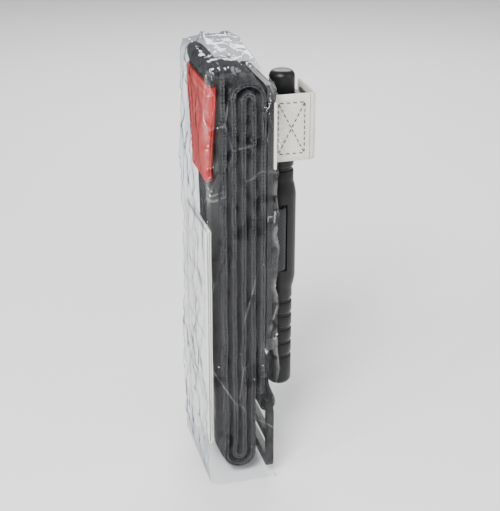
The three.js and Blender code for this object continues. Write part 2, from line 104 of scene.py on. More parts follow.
# Each fold is (from column, to column, height of its centre).
FOLDS = [(0, 3, LARGE_TOP_Z), (3, 2, LARGE_BOTTOM_Z), (2, 1, LARGE_TOP_Z),
         (1, 4, LARGE_BOTTOM_Z), (4, 5, SMALL_TOP_Z)]
FOLD_STEPS = 28


# --- mesh helpers -------------------------------------------------------------------------------

# Cloth ripple and edge wander: noise frequencies per millimetre, and where the edge noise is read.
RIPPLE_ALONG = 0.06
RIPPLE_ACROSS = 0.07
WANDER_ALONG = 0.11
WANDER_ACROSS = 4.0
WANDER_SEED = 9

# A tape's soft edge: its width as a share of the tape's thickness, and how far its faces close in there.
TAPE_EDGE = 0.35
TAPE_EDGE_CLOSE = 0.25
# Half the thickness of a single layer of tape.
TAPE_HALF_THICK = 0.38

# A stitch's thickness along its length, as (share of the length, share of the thread's radius).
STITCH_SHAPE = ((0.0, 0.35), (0.15, 0.9), (0.5, 1.0), (0.85, 0.9), (1.0, 0.35))
STITCH_SIDES = 6
STITCH_ARCH = 0.9


def smoothstep(low, high, value):
    t = min(max((value - low) / (high - low), 0.0), 1.0)
    return t * t * (3 - 2 * t)


def mix(a, b, t):
    return a + (b - a) * t


def finish_mesh(name, bm, material, body, nodes=()):
    """Turns a bmesh in millimetres into a piece in metres that rides on a body."""
    mesh = bpy.data.meshes.new(name)
    bmesh.ops.recalc_face_normals(bm, faces=bm.faces)
    bm.transform(Matrix.Scale(MM, 4))
    bm.to_mesh(mesh)
    bm.free()
    mesh.materials.append(material)
    mesh.polygons.foreach_set("use_smooth", [True] * len(mesh.polygons))
    mesh.set_sharp_from_angle(angle=MESH_SHARP_ANGLE)
    piece = bpy.data.objects.new(name, mesh)
    bpy.context.scene.collection.objects.link(piece)
    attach(piece, body)
    if nodes:
        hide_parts(*nodes)
    return piece


def path_frames(points):
    """(point, normal on the right of travel, distance along) at each point of a flat path."""
    frames = []
    along = 0.0
    for i, point in enumerate(points):
        before = points[max(i - 1, 0)]
        after = points[min(i + 1, len(points) - 1)]
        du, dv = after[0] - before[0], after[1] - before[1]
        length = math.hypot(du, dv)
        if i:
            along += math.dist(point, points[i - 1])
        frames.append((point, (dv / length, -du / length), along))
    return frames


def arc_points(centre_u, centre_v, radius, start, end, steps=10):
    angles = [mix(start, end, k / steps) for k in range(steps + 1)]
    return [(centre_u + radius * math.cos(angle), centre_v + radius * math.sin(angle)) for angle in angles]


def rounded(points, radius, steps=6):
    """The path with each inner corner turned into a short curve."""
    longest_cut = 0.48
    out = [points[0]]
    for before, corner, after in zip(points, points[1:], points[2:]):
        reach = []
        for other in (before, after):
            length = math.dist(corner, other)
            cut = min(radius, length * longest_cut) / length
            reach.append((mix(corner[0], other[0], cut), mix(corner[1], other[1], cut)))
        for k in range(steps + 1):
            t = k / steps
            first = [mix(reach[0][i], corner[i], t) for i in (0, 1)]
            second = [mix(corner[i], reach[1][i], t) for i in (0, 1)]
            out.append((mix(first[0], second[0], t), mix(first[1], second[1], t)))
    out.append(points[-1])
    return out


def spaced(points, step):
    """Adds points on long straight stretches so that the cloth can ripple there."""
    out = [points[0]]
    for a, b in zip(points, points[1:]):
        count = max(1, math.ceil(math.dist(a, b) / step))
        out += [(mix(a[0], b[0], k / count), mix(a[1], b[1], k / count)) for k in range(1, count + 1)]
    return out


def tape_section(width, near, far, columns, shape=None):
    """A closed cross-section of tape: (across, normal) pairs with soft edges."""
    half = width / 2
    edge = (far - near) * TAPE_EDGE
    ys = [-half + edge + (width - 2 * edge) * k / columns for k in range(columns + 1)]
    shape = shape or (lambda y, n: n)
    near_edge = mix(near, far, TAPE_EDGE_CLOSE)
    far_edge = mix(near, far, 1 - TAPE_EDGE_CLOSE)
    lower = [(y, shape(y, near)) for y in ys]
    upper = [(y, shape(y, far)) for y in reversed(ys)]
    right = [(half, shape(half, near_edge)), (half, shape(half, far_edge))]
    left = [(-half, shape(-half, far_edge)), (-half, shape(-half, near_edge))]
    return lower + right + upper + left


def upright_section(low, high, half_thick, columns):
    """Section of a tape that runs round the pack, with its width filling a box's height."""
    middle = (low.z + high.z) / 2
    section = tape_section(high.z - low.z, -half_thick, half_thick, columns)
    return [(across + middle, normal) for across, normal in section]


def join_rings(bm, rings):
    """Faces between closed rings of vertices, and one face on each end."""
    for a, b in zip(rings, rings[1:]):
        for i in range(len(a)):
            j = (i + 1) % len(a)
            bm.faces.new((a[i], a[j], b[j], b[i]))
    bm.faces.new(rings[0])
    bm.faces.new(rings[-1])


def sweep(name, points, plane, section, material, body, nodes, wobble=0.0, seed=0.0,
          width_at=None, edge_wobble=0.0, sway=None):
    """Lofts a cross-section along a flat path. plane is 'xz' (across is Y) or 'xy' (across is Z)."""
    bm = bmesh.new()
    lay = bm.verts.layers.float_vector.new("lay")
    total = path_frames(points)[-1][2]
    rings = []
    for (u, v), (nu, nv), along in path_frames(points):
        ring = []
        widen = width_at(along / total) if width_at else 1.0
        for across, normal in section:
            ripple_place = Vector((along * RIPPLE_ALONG, across * RIPPLE_ACROSS, seed))
            edge = math.copysign(WANDER_ACROSS, across)
            wander_place = Vector((along * WANDER_ALONG, edge, seed + WANDER_SEED))
            offset = normal + noise.noise(ripple_place) * wobble
            side = across * widen + noise.noise(wander_place) * edge_wobble
            pu, pv = u + nu * offset, v + nv * offset
            co = (pu, side, pv) if plane == "xz" else (pu, pv, side)
            vert = bm.verts.new(co)
            if sway:
                vert.co.x += sway(vert.co)
            vert[lay] = (along, across, normal)
            ring.append(vert)
        rings.append(ring)
    join_rings(bm, rings)
    return finish_mesh(name, bm, material, body, nodes)


def add_stitch(bm, start, end, radius, normal):
    """One thread stitch: a slightly arched rod between two points."""
    start, end, normal = Vector(start), Vector(end), Vector(normal).normalized()
    axis = (end - start).normalized()
    side = axis.cross(normal)
    rings = []
    for t, scale in STITCH_SHAPE:
        centre = start.lerp(end, t) + normal * radius * STITCH_ARCH * math.sin(math.pi * t)
        ring = []
        for k in range(STITCH_SIDES):
            angle = math.tau * k / STITCH_SIDES
            spoke = side * math.cos(angle) + normal * math.sin(angle)
            ring.append(bm.verts.new(centre + spoke * radius * scale))
        rings.append(ring)
    join_rings(bm, rings)


def stitch_row(bm, start, end, normal, pitch=2.6, length=1.9, radius=0.17):
    start, end = Vector(start), Vector(end)
    count = max(1, int((end - start).length / pitch))
    step = (end - start) / count
    for k in range(count):
        middle = start + step * (k + 0.5)
        reach = step.normalized() * length / 2
        add_stitch(bm, middle - reach, middle + reach, radius, normal)


def bar_tack(bm, start, end, normal, depth, turns, radius):
    """Dense zigzag thread between two lines."""
    start, end, normal = Vector(start), Vector(end), Vector(normal).normalized()
    side = (end - start).normalized().cross(normal) * depth / 2
    points = [start.lerp(end, k / turns) + (side if k % 2 else -side) for k in range(turns + 1)]
    for a, b in zip(points, points[1:]):
        add_stitch(bm, a, b, radius, normal)


# --- materials ----------------------------------------------------------------------------------

class Shader:
    """A small builder for one node material. Its noise scales are per millimetre."""

    def __init__(self, name):
        self.material = bpy.data.materials.new(name)
        self.material.use_nodes = True
        self.tree = self.material.node_tree
        self.bsdf = self.tree.nodes["Principled BSDF"]
        self.output = self.tree.nodes["Material Output"]

    def node(self, kind, **settings):
        made = self.tree.nodes.new("ShaderNode" + kind)
        for key, value in settings.items():
            setattr(made, key, value)
        return made

    def link(self, source, target):
        self.tree.links.new(source, target)

    def plug(self, value, socket):
        """Links another node's output, or sets a fixed value."""
        if hasattr(value, "links"):
            self.link(value, socket)
        else:
            socket.default_value = value

    def math(self, operation, a, b=None):
        made = self.node("Math", operation=operation)
        self.plug(a, made.inputs[0])
        if b is not None:
            self.plug(b, made.inputs[1])
        return made.outputs[0]

    def total(self, *terms):
        """Sum of (value, weight) pairs."""
        weighted = [self.math("MULTIPLY", value, weight) for value, weight in terms]
        out = weighted[0]
        for term in weighted[1:]:
            out = self.math("ADD", out, term)
        return out

    def place(self):
        """Position on the object in millimetres."""
        coords = self.node("TexCoord").outputs["Object"]
        scaled = self.node("VectorMath", operation="SCALE")
        self.link(coords, scaled.inputs[0])
        scaled.inputs["Scale"].default_value = 1 / MM
        return scaled.outputs[0]

    def split(self, vector):
        parts = self.node("SeparateXYZ")
        self.link(vector, parts.inputs[0])
        return parts.outputs

    def lay(self):
        """Separate (along, across, normal) coordinates of a swept tape, in millimetres."""
        return self.split(self.node("Attribute", attribute_name="lay").outputs["Vector"])

    def noise(self, vector, scale, detail=4.0, roughness=0.55):
        made = self.node("TexNoise")
        self.link(vector, made.inputs["Vector"])
        made.inputs["Scale"].default_value = scale
        made.inputs["Detail"].default_value = detail
        made.inputs["Roughness"].default_value = roughness
        return made.outputs["Fac"]

    def voronoi(self, vector, scale, feature="F1"):
        made = self.node("TexVoronoi", feature=feature)
        self.link(vector, made.inputs["Vector"])
        made.inputs["Scale"].default_value = scale
        return made.outputs["Distance"]

    def ramp(self, factor, stops):
        made = self.node("ValToRGB")
        self.link(factor, made.inputs[0])
        elements = made.color_ramp.elements
        while len(elements) < len(stops):
            elements.new(0.5)
        for element, (position, colour) in zip(elements, stops):
            element.position = position
            element.color = (*colour, 1.0)
        return made.outputs[0]

    def mixed(self, share, first, second):
        """The first colour, with a share of the second."""
        made = self.node("MixRGB")
        for name, value in (("Fac", share), ("Color1", first), ("Color2", second)):
            self.plug(value, made.inputs[name])
        return made.outputs["Color"]

    def range(self, value, to, over=(0.0, 1.0)):
        """The value carried from one range over to another, and held at its ends."""
        made = self.node("MapRange")
        self.link(value, made.inputs["Value"])
        made.inputs["From Min"].default_value, made.inputs["From Max"].default_value = over
        made.inputs["To Min"].default_value, made.inputs["To Max"].default_value = to
        return made.outputs["Result"]

    def bump(self, height, distance, strength=1.0, after=None):
        made = self.node("Bump")
        made.inputs["Strength"].default_value = strength
        made.inputs["Distance"].default_value = distance * MM
        self.link(height, made.inputs["Height"])
        if after is not None:
            self.link(after, made.inputs["Normal"])
        return made.outputs["Normal"]

    def set(self, **values):
        for key, value in values.items():
            self.plug(value, self.bsdf.inputs[key.replace("_", " ")])
        return self.material


def weave(shader, thread):
    """Height of a plain weave with threads the given width, in lay coordinates."""
    along, across, _ = shader.lay()
    turn = math.pi / thread
    warp = shader.math("SINE", shader.math("MULTIPLY", across, turn))
    weft = shader.math("SINE", shader.math("MULTIPLY", along, turn))
    return shader.range(shader.math("MULTIPLY", warp, weft), to=(0.0, 1.0), over=(-1.0, 1.0))


def pile_material():
    """Brushed loop cloth of the band, with weft loops showing along its two edges."""
    selvedge_width = (18.5, 18.9)
    loop_turn = 4.6
    face_tones = [(0.3, (0.004, 0.0043, 0.005)), (0.55, (0.014, 0.0146, 0.0165)),
                  (0.78, (0.042, 0.0435, 0.048))]
    edge_tones = [(0.25, (0.016, 0.0162, 0.018)), (0.75, (0.05, 0.051, 0.056))]
    shader = Shader("loop_pile")
    place = shader.place()
    tufts = shader.voronoi(place, scale=1.6)
    fuzz = shader.noise(place, scale=1.9, detail=3.0, roughness=0.6)
    worn = shader.noise(place, scale=0.06, detail=3.0)
    along, across, _ = shader.lay()
    selvedge = shader.range(shader.math("ABSOLUTE", across), to=(0.0, 1.0), over=selvedge_width)
    wave = shader.math("SINE", shader.math("MULTIPLY", along, loop_turn))
    loops = shader.range(wave, to=(0.0, 1.0), over=(-1.0, 1.0))
    face_colour = shader.ramp(shader.total((fuzz, 0.6), (worn, 0.4)), face_tones)
    edge_colour = shader.ramp(shader.total((loops, 0.35), (worn, 0.65)), edge_tones)
    tufted = shader.total((tufts, 0.7), (fuzz, 1.0))
    on_face = shader.math("SUBTRACT", 1.0, selvedge)
    on_edge = shader.math("MULTIPLY", loops, selvedge)
    height = shader.total((tufted, on_face), (on_edge, 0.5))
    return shader.set(Base_Color=shader.mixed(selvedge, face_colour, edge_colour),
                      Roughness=shader.range(fuzz, to=(0.78, 0.98)),
                      Normal=shader.bump(height, distance=0.3, strength=0.9),
                      Sheen_Weight=0.04, Sheen_Roughness=0.4, Specular_IOR_Level=0.1)


def tape_material(name, dark, light, thread, sheen=0.15):
    """Flat woven tape with visible threads and slight shade changes."""
    shader = Shader(name)
    place = shader.place()
    threads = weave(shader, thread)
    fibre = shader.noise(place, scale=3.0)
    patchy = shader.noise(place, scale=0.12, detail=3.0)
    colour = shader.ramp(shader.total((threads, 0.45), (patchy, 0.55)), [(0.25, dark), (0.75, light)])
    fine = shader.bump(fibre, distance=0.06, strength=0.6)
    return shader.set(Base_Color=colour, Roughness=shader.range(patchy, to=(0.62, 0.85)),
                      Normal=shader.bump(threads, distance=0.14, strength=0.9, after=fine),
                      Sheen_Weight=sheen, Sheen_Roughness=0.4)


def red_material():
    """Coated red tape: fine emboss under a slightly glossy skin."""
    tones = [(0.3, (0.30, 0.008, 0.007)), (0.55, (0.42, 0.014, 0.011)), (0.8, (0.50, 0.034, 0.026))]
    shader = Shader("red_coated_tape")
    scuffs = shader.noise(shader.place(), scale=0.35, detail=5.0, roughness=0.65)
    scuffed = shader.bump(scuffs, distance=0.25, strength=0.5)
    emboss = shader.bump(weave(shader, 0.55), distance=0.1, strength=0.7, after=scuffed)
    return shader.set(Base_Color=shader.ramp(scuffs, tones), Roughness=shader.range(scuffs, to=(0.42, 0.6)),
                      Normal=emboss, Specular_IOR_Level=0.14)


def plastic_material():
    """Black moulded nylon with a fine spark-eroded grain and faint scuffs."""
    tones = [(0.35, (0.005, 0.0052, 0.006)), (0.7, (0.009, 0.0093, 0.0105)), (0.9, (0.02, 0.0203, 0.022))]
    shader = Shader("moulded_nylon")
    place = shader.place()
    grain = shader.noise(place, scale=2.6, detail=3.0, roughness=0.6)
    scuffs = shader.noise(place, scale=0.25, detail=6.0, roughness=0.7)
    return shader.set(Base_Color=shader.ramp(scuffs, tones), Roughness=shader.range(scuffs, to=(0.3, 0.5)),
                      Normal=shader.bump(grain, distance=0.05, strength=0.6), Specular_IOR_Level=0.3)


def steel_material():
    tones = [(0.3, (0.18, 0.18, 0.19)), (0.7, (0.36, 0.36, 0.37))]
    shader = Shader("darkened_steel")
    marks = shader.noise(shader.place(), scale=1.2, detail=5.0, roughness=0.7)
    return shader.set(Base_Color=shader.ramp(marks, tones), Metallic=1.0,
                      Roughness=shader.range(marks, to=(0.28, 0.45)),
                      Normal=shader.bump(marks, distance=0.03, strength=0.5))


def printed_frames(shader):
    """Share of ink on the leaflet: blank ruled frames one below another, with no text."""
    half_frame_height = 11.0
    border_at = 14.5
    along, across, _ = shader.lay()
    from_rule = shader.math("ABSOLUTE", shader.math("PINGPONG", along, half_frame_height))
    rule = shader.range(from_rule, to=(1.0, 0.0), over=(0.7, 1.0))
    side = shader.math("ABSOLUTE", across)
    from_border = shader.math("ABSOLUTE", shader.math("SUBTRACT", side, border_at))
    border = shader.range(from_border, to=(1.0, 0.0), over=(0.25, 0.5))
    inside = shader.range(side, to=(1.0, 0.0), over=(border_at + 0.1, border_at + 0.4))
    return shader.math("MAXIMUM", border, shader.math("MULTIPLY", rule, inside))


def paper_material():
    """Thin coated paper with faint printed frames, as an instruction leaflet has."""
    tones = [(0.3, (0.74, 0.73, 0.69)), (0.7, (0.86, 0.855, 0.82))]
    ink = (0.30, 0.31, 0.34, 1.0)
    shader = Shader("leaflet_paper")
    place = shader.place()
    fibre = shader.noise(place, scale=0.9, detail=8.0, roughness=0.75)
    cloud = shader.noise(place, scale=0.05, detail=3.0)
    crumple = shader.noise(place, scale=0.09, detail=3.0, roughness=0.5)
    paper = shader.ramp(shader.total((fibre, 0.4), (cloud, 0.6)), tones)
    faint = shader.math("MULTIPLY", printed_frames(shader), 0.45)
    fine = shader.bump(fibre, distance=0.05, strength=0.5)
    return shader.set(Base_Color=shader.mixed(faint, paper, ink),
                      Roughness=shader.range(cloud, to=(0.5, 0.7)),
                      Normal=shader.bump(crumple, distance=1.4, strength=0.5, after=fine))


def film_bumps(shader, place, top):
    """Broad and small ridges in the film, calmer on its top, where a silver-grey reflection is painted."""
    calm = shader.range(top, to=(1.0, 0.35))
    normal = None
    for scale, distance, strength in ((0.075, 11.0, 0.9), (0.23, 2.6, 0.7)):
        wave = shader.noise(place, scale, detail=2.0, roughness=0.5)
        ridge = shader.math("ABSOLUTE", shader.math("SUBTRACT", wave, 0.5))
        normal = shader.bump(shader.math("MULTIPLY", ridge, calm), distance, strength, after=normal)
    return normal


def film_painted_glints(shader, place, stretched):
    """Painted highlights: extra gloss along sparse crease lines, torn edges and folded corners."""
    facets = shader.voronoi(stretched, scale=0.07, feature="DISTANCE_TO_EDGE")
    line = shader.range(facets, to=(1.0, 0.0), over=(0.0, 0.022))
    shown = shader.range(shader.noise(place, scale=0.045, detail=1.0), to=(0.0, 0.07), over=(0.48, 0.62))
    # The fold attribute carries the painted highlight along torn edges and folded corners.
    fold = shader.node("Attribute", attribute_name="fold").outputs["Fac"]
    broken = shader.range(shader.noise(place, scale=0.11, detail=3.0), to=(0.02, 0.12), over=(0.4, 0.65))
    return shader.total((line, shown), (fold, broken))


def film_material():
    """Clear film: see-through, crumpled, with sharp glints, a painted silver-grey reflection on its top and
    greyer grazing edges.
    """
    # Painted reflection: between these heights the film's top gets a silver-grey tint and extra gloss.
    painted_reflection_from_z, painted_reflection_to_z = 161.0, 167.0
    painted_reflection_tint = (0.80, 0.815, 0.84, 1.0)
    side_tones = [(0.0, (0.985, 0.988, 0.99)), (0.35, (0.95, 0.957, 0.965)), (1.0, (0.62, 0.65, 0.68))]
    shader = Shader("clear_film")
    place = shader.place()
    mapping = shader.node("Mapping")
    shader.link(place, mapping.inputs["Vector"])
    mapping.inputs["Scale"].default_value = (1.0, 1.0, 0.5)
    stretched = mapping.outputs[0]
    top = shader.range(shader.split(place)[2], to=(0.0, 1.0), over=(painted_reflection_from_z, painted_reflection_to_z))
    facing = shader.node("LayerWeight")
    facing.inputs["Blend"].default_value = 0.5
    grazing = shader.math("POWER", facing.outputs["Facing"], 3.0)
    clear = shader.node("BsdfTransparent")
    shader.link(shader.mixed(top, shader.ramp(grazing, side_tones), painted_reflection_tint), clear.inputs["Color"])
    gloss = shader.node("BsdfGlossy")
    gloss.inputs["Color"].default_value = (1.0, 1.0, 1.0, 1.0)
    gloss.inputs["Roughness"].default_value = 0.07
    shader.link(film_bumps(shader, stretched, top), gloss.inputs["Normal"])
    base_share = shader.range(grazing, to=(0.012, 0.014))
    painted_glint_share = film_painted_glints(shader, place, stretched)
    blend = shader.node("MixShader")
    # Gloss share: painted reflection on the top, painted highlights, and the plain film's own share.
    shader.link(shader.total((top, 0.1), (painted_glint_share, 1.0), (base_share, 1.0)), blend.inputs[0])
    shader.link(clear.outputs[0], blend.inputs[1])
    shader.link(gloss.outputs[0], blend.inputs[2])
    shader.link(blend.outputs[0], shader.output.inputs["Surface"])
    shader.tree.nodes.remove(shader.bsdf)
    return shader.material


PILE = pile_material()
STRAP = tape_material("woven_strap", (0.01, 0.0105, 0.012), (0.03, 0.031, 0.034), thread=0.8, sheen=0.08)
HOOK = tape_material("hook_tape", (0.01, 0.01, 0.011), (0.032, 0.032, 0.035), thread=0.5, sheen=0.08)
WHITE = tape_material("white_tape", (0.60, 0.575, 0.50), (0.80, 0.775, 0.70), thread=0.6, sheen=0.1)
THREAD = tape_material("bonded_thread", (0.02, 0.02, 0.022), (0.07, 0.07, 0.075), thread=0.3)
RED_THREAD = tape_material("red_thread", (0.30, 0.02, 0.02), (0.45, 0.04, 0.035), thread=0.3)
RED = red_material()
PLASTIC = plastic_material()
STEEL = steel_material()
PAPER = paper_material()
FILM = film_material()


# --- the folded band ----------------------------------------------------------------------------

# The plies meet where they are sewn, near their edges, and swell round the strap in their middle.
SEWN_FROM_Y = 13.6
SEWN_TO_Y = 17.4
SEWN_PINCH = 0.56
SWELL_FROM_Y = 13.0
SWELL_TO_Y = 5.0
SWELL = 0.3


def column_x(column):
    return FRONT_COLUMN_X - column * LAYER_PITCH


def folded_path(start_z, folds, end_z):
    points = [(column_x(folds[0][0]), start_z)]
    heading = 1
    for start, end, centre_z in folds:
        centre_x = (column_x(start) + column_x(end)) / 2
        reach = (column_x(start) - column_x(end)) / 2
        for k in range(FOLD_STEPS + 1):
            angle = math.pi * k / FOLD_STEPS
            rise = heading * abs(reach) * math.sin(angle)
            points.append((centre_x + reach * math.cos(angle), centre_z + rise))
        heading = -heading
    points.append((column_x(folds[-1][1]), end_z))
    return points


def pinched(side):
    """Shape of the outer (side 1) or inner (side -1) ply: sewn edges and a swollen middle."""
    def shape(y, normal):
        sewn = smoothstep(SEWN_FROM_Y, SEWN_TO_Y, abs(y))
        swell = SWELL * (1 - smoothstep(SWELL_TO_Y, SWELL_FROM_Y, abs(y)))
        return normal + side * (swell - SEWN_PINCH * sewn)
    return shape


def band_sway(place):
    """Slow bow of the whole stack of columns, growing from the flat front to the back."""
    still_x = OUTER_HIGH.x - 2.0
    full_x = OUTER_LOW.x + 4.0
    bow = noise.noise(Vector((place.z * 0.026, place.y * 0.02, 3.0)))
    ripple = noise.noise(Vector((place.z * 0.075, place.y * 0.05, 7.0))) * 0.4
    return smoothstep(still_x, full_x, place.x) * (bow + ripple)


def make_band():
    sleeve = spaced(folded_path(BAND_START_Z, FOLDS, TAIL_START_Z), step=4.0)
    width = 2 * BAND_HALF_WIDTH
    for name, node, ply, side in (("band_outer", "band_outer_ply", OUTER_PLY, 1),
                                  ("band_inner", "band_inner_ply", INNER_PLY, -1)):
        section = tape_section(width, *ply, columns=18, shape=pinched(side))
        sweep(name, sleeve, "xz", section, PILE, "band_pack", [node],
              wobble=0.22, seed=1.0, edge_wobble=0.7, sway=band_sway)
    strap_path = spaced(folded_path(BAND_START_Z, FOLDS[:4], STRAP_END_Z), step=6.0)
    section = tape_section(STRAP_HIGH.y * 2, *STRAP_PLY, columns=8)
    sweep("inner_strap", strap_path, "xz", section, STRAP, "band_pack", ["tension_strap"],
          sway=band_sway)


def make_band_stitches():
    """Seams along both edges of the front column and down the back, where they show."""
    seam_inset = 1.6
    seam_start = 2
    back_seam_short = 45
    sunk = SEWN_PINCH - 0.02
    bm = bmesh.new()
    for side in (-1, 1):
        y = side * (BAND_HALF_WIDTH - seam_inset)
        front = OUTER_HIGH.x - sunk
        stitch_row(bm, (front, y, LOOP_HIGH.z + seam_start), (front, y, LARGE_TOP_Z), (1, 0, 0))
        back = column_x(4) - HALF_BAND + sunk
        stitch_row(bm, (back, y, LARGE_BOTTOM_Z + seam_start), (back, y, SMALL_TOP_Z - back_seam_short),
                   (-1, 0, 0))
    for vert in bm.verts:
        vert.co.x += band_sway(vert.co)
    finish_mesh("band_stitches", bm, THREAD, "band_pack")


# --- red tip ------------------------------------------------------------------------------------

TIP_BEND_RADIUS = 1.05
TIP_BEND_RISE = 1.4
TIP_HALF_THICK = 0.34
TIP_SEWN_FROM_Y = 17.2
TIP_SEWN_TO_Y = 18.5
# The sleeve narrows to this share of its width, a little faster round its bend. So does its core.
TIP_NARROW = 0.60
CORE_NARROW = 0.56
TIP_EASE = 1.1
TIP_BEND_FROM = 0.96
TIP_BEND_TAPER = 1.6


def tip_width(t):
    """Share of the full width along the sleeve: wide at both open ends, narrow at the bend."""
    down = 1 - abs(2 * t - 1)
    if down < TIP_BEND_FROM:
        return mix(1.0, TIP_NARROW, smoothstep(0.0, 1.0, down ** TIP_EASE))
    return TIP_NARROW - (down - TIP_BEND_FROM) * TIP_BEND_TAPER


def sewn_sleeve(y, normal):
    """The sleeve's two legs close round the core and meet along their sewn edges."""
    return normal - 2 * TIP_HALF_THICK * smoothstep(TIP_SEWN_FROM_Y, TIP_SEWN_TO_Y, abs(y))


def make_tip():
    centre_x = (TIP_LOW.x + TIP_HIGH.x) / 2
    bend_z = TIP_LOW.z + TIP_BEND_RISE
    bend = arc_points(centre_x, bend_z, TIP_BEND_RADIUS, math.pi, math.tau, steps=16)
    path = [(centre_x - TIP_BEND_RADIUS, TIP_HIGH.z), *bend, (centre_x + TIP_BEND_RADIUS, TIP_HIGH.z)]
    section = tape_section(TIP_HIGH.y - TIP_LOW.y, -TIP_HALF_THICK, TIP_HALF_THICK, columns=26,
                           shape=sewn_sleeve)
    sweep("red_pull_tip", spaced(path, step=1.5), "xz", section, RED, "tip", ["red_tip"],
          wobble=0.25, seed=4.0, width_at=tip_width, edge_wobble=0.25)
    low, high = box_mm("tail_core")
    core_path = spaced([(centre_x, high.z), (centre_x, low.z + 2)], step=3.0)
    core = tape_section(high.y - low.y, -TAPE_HALF_THICK, TAPE_HALF_THICK, columns=10)
    sweep("tip_core", core_path, "xz", core, PILE, "tip", ["tail_core"],
          width_at=lambda t: mix(1.0, CORE_NARROW, t))
    make_tip_stitches(bend_z)


def make_tip_stitches(bend_z):
    """A bar tack across the tip's top and a slanted seam down each side of its back."""
    tack_half_length = 15
    seam_top_y, seam_bottom_y = 16.2, 10.0
    seam_drop, seam_rise = 2, 5
    proud = 0.05
    low, high = box_mm("tip_bar_tack")
    x = TIP_LOW.x - proud
    middle = (low.z + high.z) / 2
    bm = bmesh.new()
    bar_tack(bm, (x, -tack_half_length, middle), (x, tack_half_length, middle), (-1, 0, 0),
             depth=2.4, turns=44, radius=0.16)
    for side in (-1, 1):
        top = (x, side * seam_top_y, middle - seam_drop)
        bottom = (x, side * seam_bottom_y, bend_z + seam_rise)
        stitch_row(bm, top, bottom, (-1, 0, 0), pitch=2.3, length=1.6, radius=0.15)
    finish_mesh("tip_stitches", bm, RED_THREAD, "tip", ["tip_bar_tack"])


# --- plate, clip, rod, buckle: moulded parts ----------------------------------------------------

ROD_RADIUS = 4.75
ROD_END_ROUND = 2.4
ROD_MIDDLE_RADIUS = 5.8
ROD_SLOT = (2.2, 20.0, 27.0)
ROD_SEGMENTS = 64
GRIP_RINGS = 5
GRIP_START = 27
GRIP_PITCH = 6.0
# A grip groove's flank from rim to floor, as (radius, distance from the groove's middle).
GRIP_FLANK = [(ROD_RADIUS, 1.15), (4.66, 0.95), (4.28, 0.72), (4.2, 0.5)]


def soften_edges(piece, width, segments, angle):
    modifier = piece.modifiers.new("soft_edges", "BEVEL")
    modifier.width = width * MM
    modifier.segments = segments
    modifier.limit_method = "ANGLE"
    modifier.angle_limit = angle
    return modifier


def dress_cad(node, material, bevel=0.0):
    """Gives a kept CAD node its material, smooth shading and softened edges."""
    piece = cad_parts[node]
    piece.data.materials.clear()
    piece.data.materials.append(material)
    piece.data.polygons.foreach_set("use_smooth", [True] * len(piece.data.polygons))
    piece.data.set_sharp_from_angle(angle=SMOOTH_ANGLE)
    if bevel:
        soften_edges(piece, bevel, segments=3, angle=SMOOTH_ANGLE).harden_normals = True


def make_moulded_parts():
    dress_cad("stabiliser_plate", PLASTIC, bevel=0.4)
    dress_cad("windlass_clip", PLASTIC, bevel=0.3)
    dress_cad("buckle_frame", PLASTIC, bevel=0.5)
    for node in ("clip_rivet_lower", "clip_rivet_upper"):
        dress_cad(node, STEEL)


def rod_profile():
    """(radius, height from the middle) up the rod: domed ends, grip rings, thicker middle."""
    half = (ROD_HIGH.z - ROD_LOW.z) / 2
    # The shoulder eases from the thick middle to the grips.
    shoulder = [(ROD_MIDDLE_RADIUS, 16.5), (5.72, 17.5), (5.2, 20.2), (4.82, 21.6), (ROD_RADIUS, 22.6)]
    upper = [(ROD_MIDDLE_RADIUS, 0.0), *shoulder]
    for ring in range(GRIP_RINGS):
        at = GRIP_START + ring * GRIP_PITCH
        upper += [(radius, at - reach) for radius, reach in GRIP_FLANK]
        upper += [(radius, at + reach) for radius, reach in reversed(GRIP_FLANK)]
    dome_radius, dome_z = ROD_RADIUS - ROD_END_ROUND, half - ROD_END_ROUND
    upper += arc_points(dome_radius, dome_z, ROD_END_ROUND, 0.0, math.pi / 2, steps=8)
    lower = [(radius, -height) for radius, height in reversed(upper[1:])]
    return lower + upper


def cut_slot(rod, centre):
    """Cuts the cross slot through the middle of the rod and keeps the result as its mesh."""
    bm = bmesh.new()
    bmesh.ops.create_cube(bm, size=1.0)
    bm.transform(Matrix.Translation(centre) @ Matrix.Diagonal((*ROD_SLOT, 1.0)))
    bm.transform(Matrix.Scale(MM, 4))
    cutter_mesh = bpy.data.meshes.new("slot_cutter")
    bm.to_mesh(cutter_mesh)
    bm.free()
    cutter = bpy.data.objects.new("slot_cutter", cutter_mesh)
    bpy.context.scene.collection.objects.link(cutter)
    modifier = rod.modifiers.new("slot", "BOOLEAN")
    modifier.operation = "DIFFERENCE"
    modifier.solver = "EXACT"
    modifier.object = cutter
    bpy.context.view_layer.update()
    cut_mesh = bpy.data.meshes.new_from_object(rod.evaluated_get(bpy.context.evaluated_depsgraph_get()))
    rod.modifiers.clear()
    rod.data = cut_mesh
    cut_mesh.set_sharp_from_angle(angle=SMOOTH_ANGLE)
    bpy.data.objects.remove(cutter)


def make_rod():
    bm = bmesh.new()
    centre = (ROD_LOW + ROD_HIGH) / 2
    turns = [math.tau * k / ROD_SEGMENTS for k in range(ROD_SEGMENTS)]
    rings = []
    for radius, height in rod_profile():
        spokes = [Vector((radius * math.cos(turn), radius * math.sin(turn), height)) for turn in turns]
        rings.append([bm.verts.new(centre + spoke) for spoke in spokes])
    join_rings(bm, rings)
    rod = finish_mesh("windlass_bar", bm, PLASTIC, "windlass", ["windlass_rod"])
    cut_slot(rod, centre)
    soften_edges(rod, width=0.25, segments=2, angle=ROD_BEVEL_ANGLE)


# --- straps -------------------------------------------------------------------------------------

